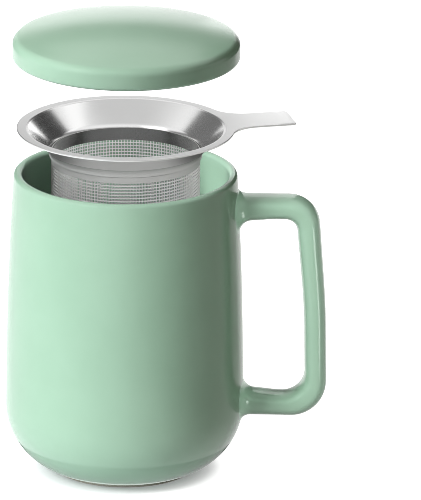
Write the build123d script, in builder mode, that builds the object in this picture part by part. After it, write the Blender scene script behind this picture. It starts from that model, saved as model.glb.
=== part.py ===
from build123d import *
import os
from math import acos, atan2, degrees, hypot, sqrt, tan

# Tea mug with a lift-out strainer and a loose lid, in millimetres.
# The mug stands on its foot ring at z = 0, its axis is Z and its handle points to +X.
# The strainer is drawn part way out of the mug and the lid is raised above it.

# Mug body, a slip-cast vessel with one round lower corner and a slightly drawn-in mouth
mouth_diameter = 88.0
belly_diameter = 93.7
body_height = 122.0
corner_radius = 27.0
wall = 3.4
floor_thickness = 5.0
foot_diameter = 55.0
foot_width = 3.5
foot_recess = 1.8
foot_bevel = 0.6
lip_round_share = 0.46

# Handle, a flat bar with round edges bent into a squared loop
handle_thickness = 8.6
handle_width = 15.5
handle_edge_share = 0.46
handle_drop = 13.8
handle_rise = 26.5
handle_droop = 1.0
upper_finger_gap = 22.6
lower_finger_gap = 24.4
grip_bow = 1.4
grip_bow_radius = 300.0
handle_top_bend = 7.5
handle_bottom_bend = 11.0
handle_flare = 3.2
handle_joint_gap = 0.05

# Strainer collar, one pressed sheet: flat flange with a lifting tab, funnel and neck
collar_sheet = 0.7
flange_inset = 1.0
flange_width = 4.0
funnel_depth = 8.8
funnel_bend_radius = 2.2
neck_bend_radius = 4.5
neck_bend_share = 0.9
collar_depth = 11.2
neck_bore = 58.8
tab_reach = 24.0
tab_width = 17.0
tab_root_radius = 13.0
tab_corner_radius = 1.0
tab_turn = 13.0

# Strainer sleeve and floor, perforated sheet welded into the neck
strainer_sheet = 0.4
weld_gap = 0.1
sleeve_overlap = 2.2
strainer_depth = 72.0
plain_band = 3.0
hole_columns = 28
hole_row_pitch = 6.5
hole_width = 4.5
hole_height = 4.5
floor_lip = 3.0
floor_hole = 4.5
floor_pitch = 6.5
floor_margin = 1.5

# Lid, a low domed ceramic cover with a locating ring underneath
lid_overhang = 0.8
lid_side = 8.5
lid_dome = 5.5
lid_wall = 5.0
lid_shoulder_radius = 3.5
lid_edge_radius = 1.6
locating_ring_play = 4.3
locating_ring_width = 3.0
locating_ring_height = 2.5
locating_ring_bevel = 0.8

# Where the loose pieces are held: heights above their seats
seat_clearance = 0.3
strainer_lift = 17.3
lid_lift = 45.4

# Every cut runs this far past the material
overrun = 1.0

mouth_radius = mouth_diameter / 2
belly_radius = belly_diameter / 2
foot_radius = foot_diameter / 2
corner_centre = belly_radius - corner_radius
inner_corner_radius = corner_radius - floor_thickness
strainer_seat = body_height + seat_clearance + collar_sheet
flange_top = strainer_seat + strainer_lift
lid_base = strainer_seat + seat_clearance + lid_lift
flange_radius = mouth_radius - flange_inset
funnel_mouth_radius = flange_radius - flange_width
neck_radius = neck_bore / 2
sleeve_radius = neck_radius - weld_gap
sleeve_top = flange_top - collar_depth + sleeve_overlap
strainer_bottom = flange_top - strainer_depth

os.makedirs("parts", exist_ok=True)


def outer_wall(gap=0):
    """Draw the mug's outside line from its foot to its mouth, stood off by a gap."""
    foot_step = corner_radius - sqrt(corner_radius**2 - (foot_radius - corner_centre) ** 2)
    sweep_angle = degrees(acos((foot_radius - corner_centre) / corner_radius))
    Line((foot_radius + gap, 0), (foot_radius + gap, foot_step))
    CenterArc((corner_centre + gap, corner_radius), corner_radius, -sweep_angle, sweep_angle)
    TangentArc(
        (belly_radius + gap, corner_radius), (mouth_radius + gap, body_height), tangent=(0, 1)
    )


# Mug body
with BuildPart() as mug_body:
    with BuildSketch(Plane.XZ) as vessel_section:
        with BuildLine():
            outer_wall()
            Line((mouth_radius, body_height), (mouth_radius - wall, body_height))
            TangentArc(
                (belly_radius - wall, corner_radius),
                (mouth_radius - wall, body_height),
                tangent=(0, 1),
            )
            CenterArc(
                (belly_radius - wall - inner_corner_radius, corner_radius),
                inner_corner_radius,
                -90,
                90,
            )
            Polyline(
                (belly_radius - wall - inner_corner_radius, floor_thickness),
                (0, floor_thickness),
                (0, foot_recess),
                (foot_radius - foot_width, foot_recess),
                (foot_radius - foot_width, 0),
                (foot_radius, 0),
            )
        make_face()
        lip_corners = vessel_section.vertices().group_by(Axis.Y)[-1]
        fillet(lip_corners, radius=wall * lip_round_share)
        foot_corners = vessel_section.vertices().group_by(Axis.Y)[0]
        chamfer(foot_corners, length=foot_bevel)
    revolve(axis=Axis.Z)
mug_body.part.label = "mug_body"
export_step(mug_body.part, "parts/mug_body.step")

# Handle: a bar swept from wall to wall, with a flared root at each end, cut to sit on the body
handle_top = body_height - handle_drop
taper_share = ((handle_top - corner_radius) / (body_height - corner_radius)) ** 2
upper_wall = belly_radius + (mouth_radius - belly_radius) * taper_share
grip_top = upper_wall + upper_finger_gap + handle_thickness / 2
grip_foot = belly_radius + lower_finger_gap + handle_thickness / 2
handle_edge_radius = handle_thickness * handle_edge_share
root_spread = handle_flare + wall
with BuildPart() as handle:
    with BuildLine(Plane.XZ):
        bar_line = FilletPolyline(
            (upper_wall - wall, handle_top),
            (grip_top, handle_top),
            ((grip_top + grip_foot) / 2 + grip_bow, (handle_top + handle_rise) / 2),
            (grip_foot, handle_rise),
            (belly_radius - wall, handle_rise + handle_droop),
            radius=[handle_top_bend, grip_bow_radius, handle_bottom_bend],
        )
    with BuildSketch(bar_line ^ 0):
        RectangleRounded(handle_thickness, handle_width, handle_edge_radius)
    sweep()
    flare_share = (root_spread + overrun) / bar_line.length
    for wall_end, bar_end in ((0, flare_share), (1, 1 - flare_share)):
        with BuildSketch(bar_line ^ wall_end):
            RectangleRounded(
                handle_thickness + 2 * root_spread,
                handle_width + 2 * root_spread,
                handle_edge_radius + root_spread,
            )
        with BuildSketch(bar_line ^ bar_end):
            RectangleRounded(
                handle_thickness - 2 * overrun,
                handle_width - 2 * overrun,
                handle_edge_radius - overrun,
            )
        loft()
    with BuildSketch(Plane.XZ):
        with BuildLine():
            outer_wall(handle_joint_gap)
            Polyline(
                (mouth_radius + handle_joint_gap, body_height),
                (0, body_height),
                (0, 0),
                (foot_radius + handle_joint_gap, 0),
            )
        make_face()
    revolve(axis=Axis.Z, mode=Mode.SUBTRACT)
handle.part.label = "handle"
export_step(handle.part, "parts/handle.step")

# Strainer collar: the flange and tab are one flat blank, the funnel and neck are spun below it
# The bend into the neck ends within the neck's height, however far the funnel leans
funnel_lean = atan2(funnel_mouth_radius - neck_radius, funnel_depth)
neck_bend_room = (collar_depth - funnel_depth) / tan(funnel_lean / 2)
neck_bend = min(neck_bend_radius, neck_bend_room * neck_bend_share)
with BuildPart() as strainer_collar:
    with BuildSketch(Plane.XY.offset(flange_top - collar_sheet)) as flange_blank:
        Circle(flange_radius)
        with PolarLocations(0, 1, start_angle=tab_turn):
            Rectangle(flange_radius + tab_reach, tab_width, align=(Align.MIN, Align.CENTER))
        tab_middle = flange_radius + tab_reach / 2
        tab_tips = flange_blank.vertices().filter_by(lambda v: hypot(v.X, v.Y) > tab_middle)
        tab_roots = flange_blank.vertices().filter_by(lambda v: hypot(v.X, v.Y) < tab_middle)
        fillet(tab_tips, radius=tab_corner_radius)
        fillet(tab_roots, radius=tab_root_radius)
        Circle(funnel_mouth_radius, mode=Mode.SUBTRACT)
    extrude(amount=collar_sheet)
    with BuildSketch(Plane.XZ):
        with BuildLine():
            upper_skin = FilletPolyline(
                (funnel_mouth_radius + flange_width / 2, flange_top),
                (funnel_mouth_radius, flange_top),
                (neck_radius, flange_top - funnel_depth),
                (neck_radius, flange_top - collar_depth),
                radius=[funnel_bend_radius, neck_bend],
            )
            offset(upper_skin, amount=collar_sheet, side=Side.LEFT)
        make_face()
    revolve(axis=Axis.Z)
strainer_collar.part.label = "strainer_collar"
export_step(strainer_collar.part, "parts/strainer_collar.step")

# Strainer sleeve: a rolled sheet with plain bands at both ends and a grid of square holes between
sleeve_length = sleeve_top - strainer_bottom
perforated_top = flange_top - collar_depth - plain_band
perforated_bottom = strainer_bottom + floor_lip + plain_band
hole_rows = int((perforated_top - perforated_bottom) // hole_row_pitch)
first_row = (perforated_top + perforated_bottom - (hole_rows - 1) * hole_row_pitch) / 2
with BuildPart() as strainer_sleeve:
    with BuildSketch(Plane.XY.offset(strainer_bottom)):
        Circle(sleeve_radius)
        Circle(sleeve_radius - strainer_sheet, mode=Mode.SUBTRACT)
    extrude(amount=sleeve_length)
    row_heights = [(0, 0, first_row + row * hole_row_pitch) for row in range(hole_rows)]
    with Locations(*row_heights):
        with PolarLocations(sleeve_radius - strainer_sheet / 2, hole_columns):
            Box(strainer_sheet + 2 * overrun, hole_width, hole_height, mode=Mode.SUBTRACT)
strainer_sleeve.part.label = "strainer_sleeve"
export_step(strainer_sleeve.part, "parts/strainer_sleeve.step")

# Strainer floor: a pressed dish whose lip stands inside the foot of the sleeve
floor_radius = sleeve_radius - strainer_sheet - weld_gap
perforated_radius = floor_radius - strainer_sheet - floor_margin
holes_each_way = int(perforated_radius // floor_pitch)
steps = range(-holes_each_way, holes_each_way + 1)
hole_grid = [(floor_pitch * column, floor_pitch * row) for column in steps for row in steps]
hole_reach = perforated_radius - hypot(floor_hole, floor_hole) / 2
hole_places = [place for place in hole_grid if hypot(*place) < hole_reach]
with BuildPart() as strainer_floor:
    with BuildSketch(Plane.XZ):
        with BuildLine():
            under_skin = Polyline(
                (0, strainer_bottom),
                (floor_radius, strainer_bottom),
                (floor_radius, strainer_bottom + floor_lip),
            )
            offset(under_skin, amount=strainer_sheet, side=Side.LEFT)
        make_face()
    revolve(axis=Axis.Z)
    with BuildSketch(Plane.XY.offset(strainer_bottom)):
        with Locations(*hole_places):
            Rectangle(floor_hole, floor_hole)
    extrude(amount=strainer_sheet + overrun, mode=Mode.SUBTRACT)
strainer_floor.part.label = "strainer_floor"
export_step(strainer_floor.part, "parts/strainer_floor.step")

# Lid: a little wider than the mouth, bearing on the flange, with its ring inside the funnel
lid_radius = mouth_radius + lid_overhang
ring_radius = funnel_mouth_radius - locating_ring_play
ring_bore = ring_radius - locating_ring_width
lid_top = lid_base + lid_side + lid_dome
dome_drop_share = (ring_bore / lid_radius) ** 2
ceiling_edge = lid_top - lid_wall - lid_dome * dome_drop_share
with BuildPart() as lid:
    with BuildSketch(Plane.XZ) as lid_section:
        with BuildLine():
            TangentArc((0, lid_top), (lid_radius, lid_base + lid_side), tangent=(1, 0))
            Polyline(
                (lid_radius, lid_base + lid_side),
                (lid_radius, lid_base),
                (ring_radius, lid_base),
                (ring_radius, lid_base - locating_ring_height),
                (ring_bore, lid_base - locating_ring_height),
                (ring_bore, ceiling_edge),
            )
            TangentArc((0, lid_top - lid_wall), (ring_bore, ceiling_edge), tangent=(1, 0))
            Line((0, lid_top - lid_wall), (0, lid_top))
        make_face()
        rim_corners = lid_section.vertices().group_by(Axis.X)[-1].sort_by(Axis.Y)
        fillet(rim_corners[-1], radius=lid_shoulder_radius)
        fillet(rim_corners[0], radius=lid_edge_radius)
        chamfer(lid_section.vertices().group_by(Axis.Y)[0], length=locating_ring_bevel)
    revolve(axis=Axis.Z)
lid.part.label = "lid"
export_step(lid.part, "parts/lid.step")
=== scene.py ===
from math import asin, atan2, cos, hypot, pi, radians, sin, sqrt

import bpy
from mathutils import Matrix, Vector
from mathutils.geometry import delaunay_2d_cdt


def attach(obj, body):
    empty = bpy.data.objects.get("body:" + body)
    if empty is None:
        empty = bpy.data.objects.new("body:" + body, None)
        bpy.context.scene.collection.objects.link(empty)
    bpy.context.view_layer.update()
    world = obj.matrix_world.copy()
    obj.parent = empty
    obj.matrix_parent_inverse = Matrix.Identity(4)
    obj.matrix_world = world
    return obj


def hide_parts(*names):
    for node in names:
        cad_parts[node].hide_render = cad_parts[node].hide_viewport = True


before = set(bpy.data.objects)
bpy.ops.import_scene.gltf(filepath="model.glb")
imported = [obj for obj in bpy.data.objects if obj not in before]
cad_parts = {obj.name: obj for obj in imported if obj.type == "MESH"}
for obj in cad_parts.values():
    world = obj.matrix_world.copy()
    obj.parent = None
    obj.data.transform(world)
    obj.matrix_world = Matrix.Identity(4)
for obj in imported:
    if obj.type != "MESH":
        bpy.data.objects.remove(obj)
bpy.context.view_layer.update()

MM = 0.001

# Sizes repeated from the solids, in millimetres
MOUTH, BELLY, HEIGHT, CORNER = 44.0, 46.85, 122.0, 27.0
WALL, FLOOR = 3.4, 5.0
FOOT, FOOT_WIDTH, FOOT_RECESS = 27.5, 3.5, 1.8
FLANGE_TOP, SHEET = 140.3, 0.7
FLANGE, FUNNEL_MOUTH, NECK = 43.0, 39.0, 29.4
FUNNEL_DEPTH, COLLAR_DEPTH, FUNNEL_BEND, NECK_BEND = 8.8, 11.2, 2.2, 4.5
TAB_REACH, TAB_WIDTH, TAB_ROOT, TAB_CORNER, TAB_TURN = 24.0, 17.0, 13.0, 1.0, radians(13)
SLEEVE, SLEEVE_SHEET, SLEEVE_TOP, SLEEVE_BOTTOM = 29.3, 0.4, 131.3, 68.3
LID, LID_BASE, LID_SIDE, LID_DOME, LID_WALL = 44.8, 168.7, 8.5, 5.5, 5.0
LID_SHOULDER, LID_EDGE = 3.5, 1.6
RING, RING_WIDTH, RING_HEIGHT = 34.7, 3.0, 2.5
BAR_THICK, BAR_WIDE = 8.6, 15.5


# Profiles

def arc(cx, cz, r, a0, a1, n):
    """Points of an arc, angles in degrees, both ends included."""
    return [
        (cx + r * cos(radians(a0 + (a1 - a0) * i / n)), cz + r * sin(radians(a0 + (a1 - a0) * i / n)))
        for i in range(n + 1)
    ]


def rounded(points, radii, n=6):
    """A polyline whose corner i is rounded by radii[i] in n steps; 0 keeps the corner."""
    out = []
    last = len(points) - 1
    for i, p in enumerate(points):
        r = radii[i]
        if not r or i in (0, last):
            out.append(p)
            continue
        p = Vector(p)
        a = (Vector(points[i - 1]) - p).normalized()
        b = (Vector(points[i + 1]) - p).normalized()
        half = a.angle(b) / 2
        reach = r / (sin(half) / cos(half))
        centre = p + (a + b).normalized() * (r / sin(half))
        start, end = p + a * reach - centre, p + b * reach - centre
        turn = start.angle(end)
        for k in range(n + 1):
            t = k / n
            v = (start * sin((1 - t) * turn) + end * sin(t * turn)) / sin(turn)
            out.append(tuple(centre + v))
    return out


def wall_radius(z, inset=0):
    """The mug's outside radius at a height, less an inset."""
    if z < CORNER:
        return BELLY - CORNER + sqrt(max(CORNER**2 - (CORNER - z) ** 2, 0)) - inset
    draw = BELLY - MOUTH
    rise = HEIGHT - CORNER
    r = (draw**2 + rise**2) / (2 * draw)
    return BELLY - r + sqrt(r**2 - (z - CORNER) ** 2) - inset


# Mesh makers

def new_object(name, verts, faces, smooth_angle=35, face_slots=None):
    mesh = bpy.data.meshes.new(name)
    mesh.from_pydata([(x * MM, y * MM, z * MM) for x, y, z in verts], [], faces)
    mesh.update()
    mesh.polygons.foreach_set("use_smooth", [True] * len(mesh.polygons))
    if face_slots:
        mesh.polygons.foreach_set("material_index", face_slots)
    mesh.set_sharp_from_angle(angle=radians(smooth_angle))
    obj = bpy.data.objects.new(name, mesh)
    bpy.context.scene.collection.objects.link(obj)
    return obj


def spin(name, profile, turns=288, slots=None, smooth_angle=35, closed=True):
    """Spins a profile of (r, z) round Z. A point with r = 0 becomes one pole."""
    verts, rings = [], []
    for r, z in profile:
        if r < 1e-6:
            rings.append([len(verts)] * turns)
            verts.append((0, 0, z))
        else:
            rings.append(list(range(len(verts), len(verts) + turns)))
            verts += [(r * cos(2 * pi * k / turns), r * sin(2 * pi * k / turns), z) for k in range(turns)]
    faces, face_slots = [], []
    count = len(profile) if closed else len(profile) - 1
    for i in range(count):
        lower, upper = rings[i], rings[(i + 1) % len(rings)]
        if lower[0] == lower[1] and upper[0] == upper[1]:
            continue
        for k in range(turns):
            q = (k + 1) % turns
            corners = [lower[k], lower[q], upper[q], upper[k]]
            face = [c for n, c in enumerate(corners) if c not in corners[:n]]
            faces.append(face)
            face_slots.append(slots[i] if slots else 0)
    return new_object(name, verts, faces, smooth_angle, face_slots)


# Materials

def material(name):
    made = bpy.data.materials.new(name)
    made.use_nodes = True
    nodes, links = made.node_tree.nodes, made.node_tree.links
    return made, nodes, links, nodes["Principled BSDF"]


def noise(nodes, links, vector, scale, detail=2.0, rough=0.5):
    node = nodes.new("ShaderNodeTexNoise")
    node.inputs["Scale"].default_value = scale
    node.inputs["Detail"].default_value = detail
    node.inputs["Roughness"].default_value = rough
    links.new(vector, node.inputs["Vector"])
    return node.outputs["Fac"]


def ramp(nodes, links, value, stops):
    """Colours by a value, from stops of (place, colour)."""
    node = nodes.new("ShaderNodeValToRGB")
    while len(node.color_ramp.elements) < len(stops):
        node.color_ramp.elements.new(0.5)
    for element, (place, colour) in zip(node.color_ramp.elements, stops):
        element.position = place
        element.color = (*colour, 1)
    links.new(value, node.inputs["Fac"])
    return node.outputs["Color"]


def grey_ramp(nodes, links, value, stops):
    """Greys by a value, from stops of (place, grey)."""
    return ramp(nodes, links, value, [(place, (grey, grey, grey)) for place, grey in stops])


def span(nodes, links, value, low, high, start=0.0, end=1.0):
    """Maps start to low and end to high, and holds both ends."""
    node = nodes.new("ShaderNodeMapRange")
    node.inputs["From Min"].default_value = start
    node.inputs["From Max"].default_value = end
    node.inputs["To Min"].default_value = low
    node.inputs["To Max"].default_value = high
    links.new(value, node.inputs["Value"])
    return node.outputs["Result"]


def bump(nodes, links, height, shader, strength, distance):
    node = nodes.new("ShaderNodeBump")
    node.inputs["Strength"].default_value = strength
    node.inputs["Distance"].default_value = distance
    links.new(height, node.inputs["Height"])
    links.new(node.outputs["Normal"], shader.inputs["Normal"])


def glaze():
    made, nodes, links, shader = material("mint_glaze")
    place = nodes.new("ShaderNodeTexCoord").outputs["Object"]
    pool = noise(nodes, links, place, scale=38, detail=3)
    tint = ramp(nodes, links, pool, [(0.3, (0.452, 0.708, 0.528)), (0.7, (0.482, 0.742, 0.560))])
    edge = nodes.new("ShaderNodeNewGeometry").outputs["Pointiness"]
    thin = grey_ramp(nodes, links, edge, [(0.5, 0), (0.56, 1)])
    mix = nodes.new("ShaderNodeMix")
    mix.data_type = "RGBA"
    links.new(thin, mix.inputs["Factor"])
    links.new(tint, mix.inputs["A"])
    mix.inputs["B"].default_value = (0.56, 0.80, 0.66, 1)
    links.new(mix.outputs["Result"], shader.inputs["Base Color"])
    sheen = noise(nodes, links, place, scale=210, detail=4)
    links.new(span(nodes, links, sheen, 0.14, 0.22), shader.inputs["Roughness"])
    ripple = noise(nodes, links, place, scale=420, detail=2)
    bump(nodes, links, ripple, shader, strength=0.06, distance=0.0004)
    return made


def bisque():
    made, nodes, links, shader = material("bare_clay")
    place = nodes.new("ShaderNodeTexCoord").outputs["Object"]
    grain = noise(nodes, links, place, scale=900, detail=5, rough=0.7)
    tint = ramp(nodes, links, grain, [(0.3, (0.60, 0.55, 0.47)), (0.7, (0.74, 0.69, 0.61))])
    links.new(tint, shader.inputs["Base Color"])
    shader.inputs["Roughness"].default_value = 0.85
    bump(nodes, links, grain, shader, strength=0.3, distance=0.0003)
    return made


def steel(name, dark, light, rough_low, rough_high, rings=0.0, strength=0.05, metal=1.0):
    """Stainless sheet; rings > 0 turns the brushing into fine circles round the axis.

    A metal below 1 scatters most of the light, which matches the photograph's tones.
    """
    made, nodes, links, shader = material(name)
    place = nodes.new("ShaderNodeTexCoord").outputs["Object"]
    split = nodes.new("ShaderNodeSeparateXYZ")
    links.new(place, split.inputs["Vector"])
    flat = nodes.new("ShaderNodeCombineXYZ")
    links.new(split.outputs["X"], flat.inputs["X"])
    links.new(split.outputs["Y"], flat.inputs["Y"])
    length = nodes.new("ShaderNodeVectorMath")
    length.operation = "LENGTH"
    links.new(flat.outputs["Vector"], length.inputs[0])
    turned = nodes.new("ShaderNodeCombineXYZ")
    links.new(length.outputs["Value"], turned.inputs["X"])
    links.new(split.outputs["Z"], turned.inputs["Z"])
    brushed = turned.outputs["Vector"] if rings else place
    grain = noise(nodes, links, brushed, scale=rings or 160, detail=3, rough=0.6)
    cloud = noise(nodes, links, place, scale=45, detail=3)
    links.new(ramp(nodes, links, cloud, [(0.25, dark), (0.75, light)]), shader.inputs["Base Color"])
    links.new(span(nodes, links, grain, rough_low, rough_high), shader.inputs["Roughness"])
    shader.inputs["Metallic"].default_value = metal
    bump(nodes, links, grain, shader, strength, distance=0.0001)
    return made


MINT, CLAY = glaze(), bisque()
# Steels: flange, inside of the funnel, then the sleeve's outside, a darker plain outside (painted shade), a
# lighter inside (painted light) and a darker plain inside (painted shade)
SATIN = steel("satin_steel", (0.82, 0.82, 0.815), (0.88, 0.88, 0.875), 0.28, 0.36, rings=2600, strength=0.02)
POLISH = steel(
    "polished_steel", (0.83, 0.83, 0.825), (0.88, 0.88, 0.875), 0.16, 0.22, rings=1800, strength=0.02
)
MESHED = steel("perforated_steel", (0.66, 0.66, 0.655), (0.72, 0.72, 0.715), 0.36, 0.46, metal=0.1)
# Painted shade: a darker copy of the perforated steel, for the sleeve's plain outside band and the collar's
# lower neck
PAINTED_SHADE_PLAIN = steel("plain_outside_painted_shade", (0.46, 0.46, 0.455), (0.52, 0.52, 0.515), 0.36, 0.46, metal=0.1)
# Painted light: a lighter copy of the perforated steel for the sleeve's inside, so its wires show bright
PAINTED_LIGHT_INSIDE = steel("perforated_inside_painted_light", (0.88, 0.88, 0.875), (0.94, 0.94, 0.935), 0.36, 0.46, metal=0.1)
# Painted shade: a dark copy for the sleeve's plain inside band, in place of a dark reflection
PAINTED_SHADE_BAND = steel("plain_band_painted_shade", (0.36, 0.36, 0.36), (0.42, 0.42, 0.42), 0.18, 0.26, rings=1800, strength=0.02)


# Mug body: one spun vessel with a bare foot ring

GLAZED, BARE = range(2)
LIP_SHARE, FOOT_EDGE, RECESS_FILLET = 0.46, 0.6, 0.7
FLOOR_MIDDLE, RECESS_MIDDLE, WALL_STEPS = 10, 12, 40
foot_top = CORNER - sqrt(CORNER**2 - (FOOT - BELLY + CORNER) ** 2)
lip = WALL * LIP_SHARE
lip_z = HEIGHT - lip
lip_r = wall_radius(lip_z)
outside = [(FOOT - FOOT_EDGE, 0), (FOOT, FOOT_EDGE), (FOOT, foot_top)]
corner_start = -90 + asin((FOOT - BELLY + CORNER) / CORNER) * 180 / pi
outside += arc(BELLY - CORNER, CORNER, CORNER, corner_start, 0, WALL_STEPS)[1:]
wall_heights = [CORNER + (lip_z - CORNER) * k / WALL_STEPS for k in range(1, WALL_STEPS + 1)]
outside += [(wall_radius(z), z) for z in wall_heights]
over = arc(lip_r - lip, lip_z, lip, 0, 90, 8)[1:]
over += arc(lip_r - WALL + lip, lip_z, lip, 90, 180, 8)
inner_heights = [lip_z + (CORNER - lip_z) * k / WALL_STEPS for k in range(1, WALL_STEPS + 1)]
inside = [(wall_radius(z, WALL), z) for z in inner_heights]
inner_corner = CORNER - FLOOR
inside += arc(BELLY - WALL - inner_corner, CORNER, inner_corner, 0, -90, 32)[1:]
inside += [(FLOOR_MIDDLE, FLOOR), (0, FLOOR)]
foot_inside = FOOT - FOOT_WIDTH
under = [(0, FOOT_RECESS), (RECESS_MIDDLE, FOOT_RECESS)]
under += rounded(
    [(RECESS_MIDDLE, FOOT_RECESS), (foot_inside, FOOT_RECESS), (foot_inside, FOOT_EDGE)],
    [0, RECESS_FILLET, 0],
)[1:]
under += [(foot_inside + FOOT_EDGE, 0)]
profile = outside + over + inside + under
slots = [GLAZED] * len(profile)
slots[:2] = slots[-2:] = [BARE, BARE]
mug = spin("mug_shell", profile, slots=slots)
for m in (MINT, CLAY):
    mug.data.materials.append(m)
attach(mug, "mug")
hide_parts("mug_body")


# Handle: an oval bar between an outer and an inner line, whose ends spread onto the wall

TOP_Z, LOW_Z, DROOP = 108.2, 26.5, 1.0
UPPER_WALL = wall_radius(TOP_Z)
GAP_TOP, GAP_FOOT = 22.6, 24.4
GRIP_TOP, GRIP_FOOT = UPPER_WALL + GAP_TOP + BAR_THICK / 2, BELLY + GAP_FOOT + BAR_THICK / 2
GRIP_BOW, BOW_BEND = 1.4, 300
OUTER_BENDS, INNER_BENDS = (12.2, 13.8), (5.2, 9.0)
OUTER_ROOT, INNER_ROOT, SIDE_ROOT = (2.6, 0.3), (5.0, 1.0), (4.0, 0.4)
TAPER_LENGTH, SEAT_LENGTH, ROUNDNESS, WALL_CLEAR = 14, 9, 2.7, 0.02


def bar_line(side, bends):
    """One long edge of the bar, side 1 outside and -1 inside, bent at the grip's top and foot.

    Both edges have as many points, which pair up across the bar.
    """
    h = side * BAR_THICK / 2
    return rounded(
        [
            (UPPER_WALL, TOP_Z + h),
            (GRIP_TOP + h, TOP_Z + h),
            ((GRIP_TOP + GRIP_FOOT) / 2 + GRIP_BOW + h, (TOP_Z + LOW_Z) / 2),
            (GRIP_FOOT + h, LOW_Z - h),
            (BELLY, LOW_Z + DROOP - h),
        ],
        [0, bends[0], BOW_BEND, bends[1], 0],
        18,
    )


def spread(near, radius, taper):
    """How far an edge swells towards the wall: a round root and a long slight taper."""
    root = radius - sqrt(radius**2 - (radius - near) ** 2) if near < radius else 0.0
    return root + taper * max(0.0, 1 - near / TAPER_LENGTH)


def make_handle():
    outer, inner = bar_line(1, OUTER_BENDS), bar_line(-1, INNER_BENDS)
    middles = [(Vector(a) + Vector(b)) / 2 for a, b in zip(outer, inner)]
    travelled = [0.0]
    for a, b in zip(middles, middles[1:]):
        travelled.append(travelled[-1] + (b - a).length)
    total = travelled[-1]
    # Rings lie closer together near the wall
    ends = [0, 0.12, 0.3, 0.55, 0.9, 1.4, 2.0, 2.8, 3.6, 4.6]
    first = ends[-1] + 1
    steps = [first + k for k in range(int(total - 2 * first))]
    stations = ends + steps + [total - d for d in reversed(ends)]

    def at(line, d):
        """The point of an edge at a distance along the bar."""
        k = 0
        while k < len(line) - 2 and travelled[k + 1] < d:
            k += 1
        t = (d - travelled[k]) / max(travelled[k + 1] - travelled[k], 1e-9)
        return Vector(line[k]).lerp(Vector(line[k + 1]), min(max(t, 0), 1))

    around, power = 72, 2 / ROUNDNESS
    verts, rings = [], []
    for d in stations:
        out, into = at(outer, d), at(inner, d)
        across = (out - into).normalized()
        near = min(d, total - d)
        out += across * spread(near, *OUTER_ROOT)
        into -= across * spread(near, *INNER_ROOT)
        p, half = (out + into) / 2, (out - into) / 2
        wide = BAR_WIDE / 2 + spread(near, *SIDE_ROOT)
        rest = max(0.0, 1 - near / SEAT_LENGTH)
        seat = rest**2 * (3 - 2 * rest)
        ring = []
        for k in range(around):
            c, q = cos(2 * pi * k / around), sin(2 * pi * k / around)
            u = abs(c) ** power * (1 if c > 0 else -1)
            w = abs(q) ** power * (1 if q > 0 else -1) * wide
            x, z = p.x + half.x * u, p.y + half.y * u
            wall = sqrt(wall_radius(z) ** 2 - w**2)
            x += (wall - wall_radius(p.y)) * seat
            ring.append(len(verts))
            verts.append((max(x, wall + WALL_CLEAR), w, z))
        rings.append(ring)
    faces = []
    for a, b in zip(rings, rings[1:]):
        for k in range(around):
            q = (k + 1) % around
            faces.append((a[k], b[k], b[q], a[q]))
    for ring, turned in ((rings[0], False), (rings[-1], True)):
        faces.append(tuple(reversed(ring)) if turned else tuple(ring))
    return new_object("loop_handle", verts, faces, smooth_angle=60)


handle = make_handle()
handle.data.materials.append(MINT)
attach(handle, "mug")
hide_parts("handle")


# Lid: a low dome with a soft shoulder, and a bare ring underneath

def dome(r, top, rise, radius):
    """Height at a radius of a cap that rises so far above its edge."""
    big = (radius**2 + rise**2) / (2 * rise)
    return top - big + sqrt(big**2 - r**2)


LID_TOP = LID_BASE + LID_SIDE + LID_DOME
LID_LAND, CEILING_EDGE, BARE_RIM = 5, 6, 0.25
RING_ROOT, RING_EDGE, CEILING_BEND = 0.6, 0.8, 2.0
crown = [(r, dome(r, LID_TOP, LID_DOME, LID)) for r in [LID * k / 30 for k in range(28)]]
rim = rounded(
    [crown[-1], (LID, LID_BASE + LID_SIDE), (LID, LID_BASE), (LID - LID_LAND, LID_BASE)],
    [0, LID_SHOULDER, LID_EDGE, 0],
    10,
)[1:]
BORE = RING - RING_WIDTH
ceiling = LID_TOP - LID_WALL
ceiling_r = BORE - CEILING_EDGE
rise_under = LID_DOME * (BORE / LID) ** 2
ring_line = rounded(
    [
        (LID - LID_LAND, LID_BASE),
        (RING, LID_BASE),
        (RING, LID_BASE - RING_HEIGHT),
        (BORE, LID_BASE - RING_HEIGHT),
        (BORE, ceiling - rise_under),
        (ceiling_r, dome(ceiling_r, ceiling, rise_under, BORE)),
    ],
    [0, RING_ROOT, RING_EDGE, RING_EDGE, CEILING_BEND, 0],
)[1:]
hollow = [(r, dome(r, ceiling, rise_under, BORE)) for r in [ceiling_r * k / 10 for k in range(9, -1, -1)]]
lid_profile = list(reversed(crown + rim + ring_line + hollow))
lid_slots = []
for i, (_, z) in enumerate(lid_profile):
    next_z = lid_profile[(i + 1) % len(lid_profile)][1]
    lid_slots.append(BARE if max(z, next_z) < LID_BASE - RING_HEIGHT + BARE_RIM else GLAZED)
lid = spin("lid_cover", lid_profile, slots=lid_slots, closed=False)
for m in (MINT, CLAY):
    lid.data.materials.append(m)
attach(lid, "lid")
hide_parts("lid")


# Strainer collar: the funnel's profile spun, with the flange's edge let out to the tab

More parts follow.
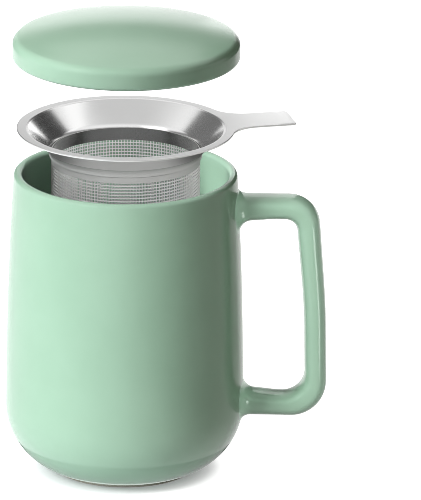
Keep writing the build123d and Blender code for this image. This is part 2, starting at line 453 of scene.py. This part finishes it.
def tab_outline():
    """(angle, radius) of the flange's edge across the tab, from one root to the other."""
    half = TAB_WIDTH / 2
    far = FLANGE + TAB_REACH
    cy = half + TAB_ROOT
    cx = sqrt((FLANGE + TAB_ROOT) ** 2 - cy**2)
    first = atan2(-cy, -cx)
    points = []
    root_steps, side_steps, corner_steps, end_steps = 14, 8, 6, 10
    for k in range(root_steps + 1):
        a = first + (-pi / 2 - first) * k / root_steps
        points.append((cx + TAB_ROOT * cos(a), cy + TAB_ROOT * sin(a)))
    points += [(cx + (far - TAB_CORNER - cx) * k / side_steps, half) for k in range(1, side_steps)]
    points += [
        (far - TAB_CORNER + TAB_CORNER * sin(a), half - TAB_CORNER + TAB_CORNER * cos(a))
        for a in [pi / 2 * k / corner_steps for k in range(corner_steps + 1)]
    ]
    points += [(far, (half - TAB_CORNER) * (1 - k / end_steps)) for k in range(1, end_steps + 1)]
    mirrored = [(x, -y) for x, y in reversed(points[:-1])]
    return [(atan2(y, x), hypot(x, y)) for x, y in points + mirrored]


# The round of the flange's edge, the shifts of the sheet's lower corners, then from the funnel's mouth
# where the tab's stretch starts and its rings lie, the edge that keeps its shape, and the ends of each steel
EDGE_DROP, EDGE_IN = 0.2, 0.06
LOWER_MOUTH, LOWER_NECK = 0.28, 0.3
TAB_START, TAB_RINGS, KEPT_EDGE = 1.6, (2.0, 2.8, 3.4), 0.5
POLISHED_REACH, MATT_SHADE_HEIGHT = 0.3, 1.6
FLANGE_STEEL, FUNNEL_STEEL, NECK_PAINTED_SHADE = range(3)


def make_collar():
    edge = tab_outline()
    reach = edge[0][0]
    plain = 250
    around = [(TAB_TURN + a, r) for a, r in reversed(edge)]
    around += [(TAB_TURN + reach + (2 * pi - 2 * reach) * k / plain, FLANGE) for k in range(1, plain)]
    z = FLANGE_TOP
    top = rounded(
        [
            (NECK, z - COLLAR_DEPTH),
            (NECK, z - FUNNEL_DEPTH),
            (FUNNEL_MOUTH, z),
            (FLANGE - EDGE_DROP, z),
        ],
        [0, NECK_BEND, FUNNEL_BEND, 0],
        10,
    )
    lower = rounded(
        [
            (FLANGE - EDGE_DROP, z - SHEET),
            (FUNNEL_MOUTH + LOWER_MOUTH, z - SHEET),
            (NECK + SHEET, z - FUNNEL_DEPTH - LOWER_NECK),
            (NECK + SHEET, z - COLLAR_DEPTH),
        ],
        [0, FUNNEL_BEND + SHEET, NECK_BEND - SHEET, 0],
        10,
    )
    flats = [FUNNEL_MOUTH + d for d in TAB_RINGS]
    profile = top[:-1] + [(r, z) for r in flats] + [top[-1]]
    profile += [(FLANGE - EDGE_IN, z - EDGE_IN), (FLANGE, z - EDGE_DROP)]
    profile += [(FLANGE, z - SHEET + EDGE_DROP), (FLANGE - EDGE_IN, z - SHEET + EDGE_IN)]
    profile += [lower[0]] + [(r, z - SHEET) for r in reversed(flats)] + lower[1:]
    start = FUNNEL_MOUTH + TAB_START
    free = FLANGE - start
    verts, rings = [], []
    for r, height in profile:
        ring = []
        for a, out in around:
            q = r
            if r >= FLANGE - KEPT_EDGE:
                q = r - FLANGE + out
            elif r > start:
                q = start + (r - start) / free * (out - start)
            ring.append(len(verts))
            verts.append((q * cos(a), q * sin(a), height))
        rings.append(ring)
    faces, marks = [], []
    count = len(around)
    for i in range(len(rings)):
        a, b = rings[i], rings[(i + 1) % len(rings)]
        r, height = [(p + q) / 2 for p, q in zip(profile[i], profile[(i + 1) % len(profile)])]
        inner_side = i < len(top) - 1
        mark = FLANGE_STEEL
        if inner_side and r < FUNNEL_MOUTH + POLISHED_REACH:
            mark = FUNNEL_STEEL
        # The neck's lower outside takes the darker steel: matt in finish, with its darkness painted shade
        elif not inner_side and height < z - FUNNEL_DEPTH + MATT_SHADE_HEIGHT:
            mark = NECK_PAINTED_SHADE
        for k in range(count):
            q = (k + 1) % count
            faces.append((a[k], b[k], b[q], a[q]))
            marks.append(mark)
    return new_object("strainer_funnel", verts, faces, smooth_angle=40, face_slots=marks)


collar = make_collar()
for m in (SATIN, POLISH, PAINTED_SHADE_PLAIN):
    collar.data.materials.append(m)
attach(collar, "strainer")
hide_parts("strainer_collar")


# Strainer sleeve: every square hole is cut through the sheet

OUTSIDE, INSIDE, INNER_BAND, OUTER_BAND = range(4)


def make_sleeve(columns=154, rows=41, web=0.27, foot_band=6.0, neck_band=2.6):
    """Rows of holes between two plain bands. The web is the share of each pitch that is metal."""
    inner = SLEEVE - SLEEVE_SHEET
    pitch = 2 * pi / columns
    half_web = web * pitch / 2
    angles = []
    for k in range(columns):
        angles += [k * pitch - half_web, k * pitch + half_web]
    low, high = SLEEVE_BOTTOM + foot_band, FLANGE_TOP - COLLAR_DEPTH - neck_band
    row = (high - low) / rows
    heights = [SLEEVE_BOTTOM, low]
    for k in range(rows):
        heights += [low + k * row + web * row / 2, low + (k + 1) * row - web * row / 2]
    heights += [SLEEVE_TOP]
    n, m = len(angles), len(heights)
    verts = [(SLEEVE * cos(a), SLEEVE * sin(a), z) for z in heights for a in angles]
    verts += [(inner * cos(a), inner * sin(a), z) for z in heights for a in angles]
    back = n * m

    def v(i, k):
        return i * n + k % n

    def is_hole(i, k):
        return 2 <= i < m - 2 and i % 2 == 0 and k % 2 == 1

    faces, marks = [], []
    for i in range(m - 1):
        for k in range(n):
            a, b, c, d = v(i, k), v(i, k + 1), v(i + 1, k + 1), v(i + 1, k)
            if not is_hole(i, k):
                faces += [(a, b, c, d), (back + d, back + c, back + b, back + a)]
                # The top plain band takes the painted-shade steels, and the inside takes the painted-light
                # steel
                marks += [OUTER_BAND, INNER_BAND] if i == m - 2 else [OUTSIDE, INSIDE]
                continue
            for p, q in ((a, b), (b, c), (c, d), (d, a)):
                faces.append((q, p, back + p, back + q))
                marks.append(OUTSIDE)
    for k in range(n):
        a, b = v(0, k), v(0, k + 1)
        faces.append((b, a, back + a, back + b))
        a, b = v(m - 1, k), v(m - 1, k + 1)
        faces.append((a, b, back + b, back + a))
    marks += [OUTSIDE] * (len(faces) - len(marks))
    return new_object("strainer_mesh", verts, faces, smooth_angle=30, face_slots=marks)


sleeve = make_sleeve()
for m in (MESHED, PAINTED_LIGHT_INSIDE, PAINTED_SHADE_BAND, PAINTED_SHADE_PLAIN):
    sleeve.data.materials.append(m)
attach(sleeve, "strainer")
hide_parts("strainer_sleeve")


# Strainer floor: a dish with square holes and an upright lip

def make_floor(pitch=1.3, hole=0.75, fit=0.1, plain_edge=3.2, lip_low=0.2, lip_high=3.0, turns=160):
    """The fit is the dish's room inside the sleeve, and the lip's ends are heights above its foot."""
    radius = SLEEVE - SLEEVE_SHEET - fit
    reach = radius - plain_edge
    angles = [2 * pi * k / turns for k in range(turns)]
    points = [Vector((radius * cos(a), radius * sin(a))) for a in angles]
    loops = [list(range(turns))]
    steps = int(reach / pitch)
    h = hole / 2
    for i in range(-steps, steps + 1):
        for j in range(-steps, steps + 1):
            x, y = i * pitch, j * pitch
            if hypot(abs(x) + h, abs(y) + h) < reach:
                loops.append(list(range(len(points), len(points) + 4)))
                corners = ((x - h, y - h), (x - h, y + h), (x + h, y + h), (x + h, y - h))
                points += [Vector(p) for p in corners]
    edges = [(loop[k], loop[(k + 1) % len(loop)]) for loop in loops for k in range(len(loop))]
    flat, _, tris, *_ = delaunay_2d_cdt(points, edges, [], 3, 1e-6)
    low, high = SLEEVE_BOTTOM, SLEEVE_BOTTOM + SLEEVE_SHEET
    size = len(flat)
    verts = [(p.x, p.y, low) for p in flat] + [(p.x, p.y, high) for p in flat]
    faces = [tuple(reversed(t)) for t in tris] + [tuple(size + c for c in t) for t in tris]
    sides = dict.fromkeys((a, b) for t in tris for a, b in zip(t, t[1:] + t[:1]))
    for a, b in sides:
        if (b, a) not in sides:
            faces.append((a, b, size + b, size + a))
    inner = radius - SLEEVE_SHEET
    lip = [(radius, low + lip_low), (radius, low + lip_high), (inner, low + lip_high), (inner, low + lip_low)]
    first = len(verts)
    for r, z in lip:
        verts += [(r * cos(a), r * sin(a), z) for a in angles]
    for i in range(len(lip) - 1):
        for k in range(turns):
            q = (k + 1) % turns
            a, b = first + i * turns, first + (i + 1) * turns
            faces.append((a + k, a + q, b + q, b + k))
    return new_object("strainer_dish", verts, faces, smooth_angle=30)


floor_dish = make_floor()
floor_dish.data.materials.append(MESHED)
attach(floor_dish, "strainer")
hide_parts("strainer_floor")


# Stage: a white floor with a painted contact shadow

def combined(nodes, links, operation, first, second):
    """Joins a socket and another socket or a number by an operation."""
    node = nodes.new("ShaderNodeMath")
    node.operation = operation
    for socket, value in zip(node.inputs, (first, second)):
        if isinstance(value, (int, float)):
            socket.default_value = value
        else:
            links.new(value, socket)
    return node.outputs["Value"]


def stage_floor(half=40, nook_reach=0.009, mug_edge=0.046, slant=1.4):
    """A wide floor that the camera sees white, with a painted contact shadow where the mug meets it.

    Reflections see it pale in front of the mug, greyer towards the camera, the right and the far left,
    and pale again behind a line that slants back to the right of the mug's edge.
    """
    mesh = bpy.data.meshes.new("studio_floor")
    corners = [(-half, -half, 0), (half, -half, 0), (half, half, 0), (-half, half, 0)]
    mesh.from_pydata(corners, [], [(0, 1, 2, 3)])
    obj = bpy.data.objects.new("studio_floor", mesh)
    bpy.context.scene.collection.objects.link(obj)
    made = bpy.data.materials.new("studio_white")
    made.use_nodes = True
    nodes, links = made.node_tree.nodes, made.node_tree.links
    nodes.clear()
    out = nodes.new("ShaderNodeOutputMaterial")
    path = nodes.new("ShaderNodeLightPath")
    # Painted shadow: the camera sees white dimmed by ambient occlusion near the mug
    nook = nodes.new("ShaderNodeAmbientOcclusion")
    nook.samples = 24
    nook.inputs["Distance"].default_value = nook_reach
    painted_contact_shadow = grey_ramp(nodes, links, nook.outputs["AO"], [(0.0, 0.13), (0.3, 0.5), (0.56, 1)])
    split = nodes.new("ShaderNodeSeparateXYZ")
    links.new(nodes.new("ShaderNodeTexCoord").outputs["Object"], split.inputs["Vector"])
    x, y = split.outputs["X"], split.outputs["Y"]
    beside = combined(nodes, links, "MAXIMUM", combined(nodes, links, "SUBTRACT", x, mug_edge), 0)
    behind = combined(nodes, links, "SUBTRACT", y, combined(nodes, links, "MULTIPLY", beside, slant))
    near = span(nodes, links, y, 0.45, 0.95, -0.2, -0.1)
    beyond = span(nodes, links, x, 1.0, 0.45, 0.06, 0.14)
    aside = span(nodes, links, x, 0.5, 1.0, -0.42, -0.26)
    front = combined(nodes, links, "MULTIPLY", combined(nodes, links, "MULTIPLY", near, beyond), aside)
    far = span(nodes, links, behind, 0.0, 0.82, -0.02, 0.02)
    mirrored = combined(nodes, links, "MAXIMUM", front, far)
    seen = combined(nodes, links, "MULTIPLY", painted_contact_shadow, path.outputs["Is Camera Ray"])
    shown = combined(nodes, links, "MULTIPLY", mirrored, path.outputs["Is Glossy Ray"])
    glow = nodes.new("ShaderNodeEmission")
    links.new(combined(nodes, links, "ADD", seen, shown), glow.inputs["Strength"])
    # Painted shade: the floor's colour is grey to the right, as if in the mug's shadow, and pale bluish to
    # the left, so it throws less light back onto the mug's right
    diffuse = nodes.new("ShaderNodeBsdfDiffuse")
    painted_shade_side = span(nodes, links, x, 0.0, 1.0, -0.06, 0.06)
    tint = ramp(nodes, links, painted_shade_side, [(0.0, (0.8, 0.86, 0.89)), (1.0, (0.52, 0.52, 0.5))])
    links.new(tint, diffuse.inputs["Color"])
    both = nodes.new("ShaderNodeAddShader")
    links.new(diffuse.outputs["BSDF"], both.inputs[0])
    links.new(glow.outputs["Emission"], both.inputs[1])
    links.new(both.outputs["Shader"], out.inputs["Surface"])
    mesh.materials.append(made)
    return obj


studio_floor = stage_floor()


def card(name, verts, faces, strength, clear=False):
    """A card that only the reflections show, in metres. A clear one adds to what is behind it."""
    mesh = bpy.data.meshes.new(name)
    mesh.from_pydata(verts, [], faces)
    obj = bpy.data.objects.new(name, mesh)
    bpy.context.scene.collection.objects.link(obj)
    made = bpy.data.materials.new(name)
    made.use_nodes = True
    nodes, links = made.node_tree.nodes, made.node_tree.links
    nodes.clear()
    glow = nodes.new("ShaderNodeEmission")
    glow.inputs["Strength"].default_value = strength
    shader = glow.outputs["Emission"]
    if clear:
        both = nodes.new("ShaderNodeAddShader")
        links.new(shader, both.inputs[0])
        links.new(nodes.new("ShaderNodeBsdfTransparent").outputs["BSDF"], both.inputs[1])
        shader = both.outputs["Shader"]
    links.new(shader, nodes.new("ShaderNodeOutputMaterial").inputs["Surface"])
    mesh.materials.append(made)
    obj.visible_camera = obj.visible_diffuse = obj.visible_shadow = False
    return obj


def flat_card(name, centre, side, rise, strength, clear=False):
    c, u, v = Vector(centre), Vector(side), Vector(rise)
    return card(name, [c - u - v, c + u - v, c + u + v, c - u + v], [(0, 1, 2, 3)], strength, clear)


def half_drum(name, radius, low, high, first, strength, turns=48):
    """Half a drum inside the mug's wall, so that what is in the mug reflects a plain grey, in millimetres."""
    angles = [first + pi * k / turns for k in range(turns + 1)]
    verts = [(radius * cos(a) * MM, radius * sin(a) * MM, z * MM) for z in (low, high) for a in angles]
    faces = [(k, k + 1, turns + k + 2, turns + k + 1) for k in range(turns)]
    card(name, verts, faces + [tuple(range(turns + 1))], strength)


# Cards for the flange, tab and funnel, dark flags at the funnel's sides, clear cards for one piece each
flat_card("back_card", (-0.012, 0.25, 0.175), (0.06, 0, 0), (0, 0, 0.055), 0.9)
flat_card("tab_card", (0.074, 0.25, 0.175), (0.026, 0, 0), (0, 0, 0.055), 1.5)
flat_card("side_card", (0.31, 0.1, 0.52), (0, 0.06, 0), (-0.12, 0, 0.1), 1.2)
flat_card("right_flag", (0.302, 0.36, 0.311), (0.184, -0.154, 0), (0, 0, 0.25), 0.06)
flat_card("left_flag", (-0.302, 0.36, 0.311), (0.184, 0.154, 0), (0, 0, 0.25), 0.18)
lid_card = flat_card("lid_card", (0, 0.24, 0.19), (0.13, 0, 0), (0, 0, 0.06), 0.6, clear=True)
grip_card = flat_card("grip_card", (0.172, -0.115, 0.03), (0.018, 0.0157, 0), (0, 0, 0.045), 6, clear=True)
DRUM = 43.2, 3.5, 120
half_drum("front_drum", *DRUM, -pi, 0.55)
half_drum("back_drum", *DRUM, 0, 0.03)


# Light

def world_light():
    world = bpy.data.worlds.new("studio")
    bpy.context.scene.world = world
    world.use_nodes = True
    nodes, links = world.node_tree.nodes, world.node_tree.links
    nodes.clear()
    out = nodes.new("ShaderNodeOutputWorld")
    back = nodes.new("ShaderNodeBackground")
    path = nodes.new("ShaderNodeLightPath")
    split = nodes.new("ShaderNodeSeparateXYZ")
    links.new(nodes.new("ShaderNodeTexCoord").outputs["Generated"], split.inputs["Vector"])
    # Greys by the sine of the elevation, only for reflections
    greys = [(0.0, 1.0), (0.12, 1.0), (0.28, 0.25), (0.42, 0.25), (0.52, 1.0), (0.75, 1.0), (0.95, 0.68)]
    mirror = grey_ramp(nodes, links, split.outputs["Z"], greys)
    ambient = nodes.new("ShaderNodeMix")
    ambient.data_type = "RGBA"
    links.new(path.outputs["Is Glossy Ray"], ambient.inputs["Factor"])
    ambient.inputs["A"].default_value = (0.11, 0.11, 0.088, 1)
    links.new(mirror, ambient.inputs["B"])
    seen = nodes.new("ShaderNodeMix")
    seen.data_type = "RGBA"
    links.new(path.outputs["Is Camera Ray"], seen.inputs["Factor"])
    links.new(ambient.outputs["Result"], seen.inputs["A"])
    seen.inputs["B"].default_value = (1, 1, 1, 1)
    links.new(seen.outputs["Result"], back.inputs["Color"])
    links.new(back.outputs["Background"], out.inputs["Surface"])


world_light()
AIM = Vector((0, 0, 0.09))


def softbox(name, azimuth, elevation, distance, size, power):
    """A soft square light aimed at the mug. Azimuth 0 is the camera's side, negative is left."""
    a, e = radians(azimuth), radians(elevation)
    place = Vector((sin(a) * cos(e), -cos(a) * cos(e), sin(e))) * distance + AIM
    data = bpy.data.lights.new(name, "AREA")
    data.shape = "RECTANGLE"
    data.size, data.size_y, data.energy = size, size, power
    obj = bpy.data.objects.new(name, data)
    obj.location = place
    obj.rotation_euler = (AIM - place).to_track_quat("-Z", "Y").to_euler()
    bpy.context.scene.collection.objects.link(obj)
    return obj


def shines_on(lamp, pieces):
    """Limits a lamp or a card to some pieces, and gives their collection."""
    lit = bpy.data.collections.new(lamp.name + "_lit")
    for piece in pieces:
        lit.objects.link(piece)
    lamp.light_linking.receiver_collection = lit
    return lit


# The photograph was put together from separate shots, so pieces have lights and cards of their own
key = softbox("key", -50, 33, 2.4, 0.8, 43)
shines_on(key, (mug, studio_floor))
shines_on(lid_card, (lid,))
shines_on(grip_card, (handle,))
lid_key = softbox("lid_key", -67, 36, 2.4, 1.2, 55)
shines_on(lid_key, (lid,))
handle_key = softbox("handle_key", -50, 33, 2.4, 0.8, 57)
shines_on(handle_key, (handle,))
handle_fill = softbox("handle_fill", 60, 25, 1.2, 0.2, 3.2)
shines_on(handle_fill, (handle,))
strainer_key = softbox("strainer_key", 8, 27, 1.2, 0.2, 10)
# Only the strainer shades the strainer from its lamp
strainer_key.light_linking.blocker_collection = shines_on(strainer_key, (collar, sleeve, floor_dish))
# Stands in for light thrown up by a white table, so the floor does not block it
bounce_key = softbox("bounce_key", -45, -40, 0.36, 0.2, 0.28)
bounce_key.data.color = (0.9, 1.0, 1.0)
bounce_key.light_linking.blocker_collection = shines_on(bounce_key, (mug,))
for lamp in (key, lid_key, handle_key, handle_fill, strainer_key, bounce_key):
    lamp.visible_glossy = False
KEY_CARD_HALF = 0.75
axes = key.rotation_euler.to_matrix()
flat_card("key_card", key.location, axes.col[0] * KEY_CARD_HALF, axes.col[1] * KEY_CARD_HALF, 1.5)


def inner_spot(target, power, width=2.3, distance=1.2):
    """A narrow beam, its width in degrees, over the left of the lip onto the inside of the right wall.

    The strainer does not block it.
    """
    data = bpy.data.lights.new("inner_spot", "SPOT")
    data.energy, data.spot_size, data.spot_blend = power, radians(width), 0.5
    data.shadow_soft_size = 0.005
    obj = bpy.data.objects.new("inner_spot", data)
    way = Vector((-0.88, 0.077, 0.469))
    obj.location = Vector(target) + way * distance
    obj.rotation_euler = (-way).to_track_quat("-Z", "Y").to_euler()
    bpy.context.scene.collection.objects.link(obj)
    obj.light_linking.blocker_collection = shines_on(obj, (mug,))
    obj.visible_glossy = False


inner_spot((0.039, 0.010, 0.110), 58)

# For the same reason no reflection shows the mug or the lid
mug.visible_glossy = lid.visible_glossy = False


# Camera

def set_camera():
    """A long lens. The point looked at falls on the pixel (look_x, look_y) of the frame."""
    distance, elevation, roll = 6.0, radians(18), radians(0.3)
    px_per_m, frame_w, frame_h = 2531.0, 421, 500
    look, look_x, look_y = Vector((0, 0, 0.06)), 124.9, 321.7
    sensor = 36
    forward = Vector((0, cos(elevation), -sin(elevation)))
    right, up = Vector((1, 0, 0)), Vector((0, sin(elevation), cos(elevation)))
    right, up = right * cos(roll) + up * sin(roll), up * cos(roll) - right * sin(roll)
    place = look - forward * distance
    target = look + right * ((frame_w / 2 - look_x) / px_per_m) + up * ((look_y - frame_h / 2) / px_per_m)
    back = (place - target).normalized()
    side = up.cross(back).normalized()
    data = bpy.data.cameras.new("camera")
    data.sensor_fit = "HORIZONTAL"
    data.sensor_width = sensor
    data.lens = sensor * distance * px_per_m / frame_w
    data.clip_start, data.clip_end = 0.1, 60
    cam = bpy.data.objects.new("camera", data)
    top = back.cross(side)
    cam.matrix_world = Matrix(
        (
            (side.x, top.x, back.x, place.x),
            (side.y, top.y, back.y, place.y),
            (side.z, top.z, back.z, place.z),
            (0, 0, 0, 1),
        )
    )
    bpy.context.scene.collection.objects.link(cam)
    bpy.context.scene.camera = cam


set_camera()
bpy.context.scene.view_settings.view_transform = "Standard"
# One bounce keeps the inside of the mug dark, and a narrow filter keeps the strainer's fine grid
bpy.context.scene.cycles.diffuse_bounces = 1
bpy.context.scene.cycles.filter_width = 0.8
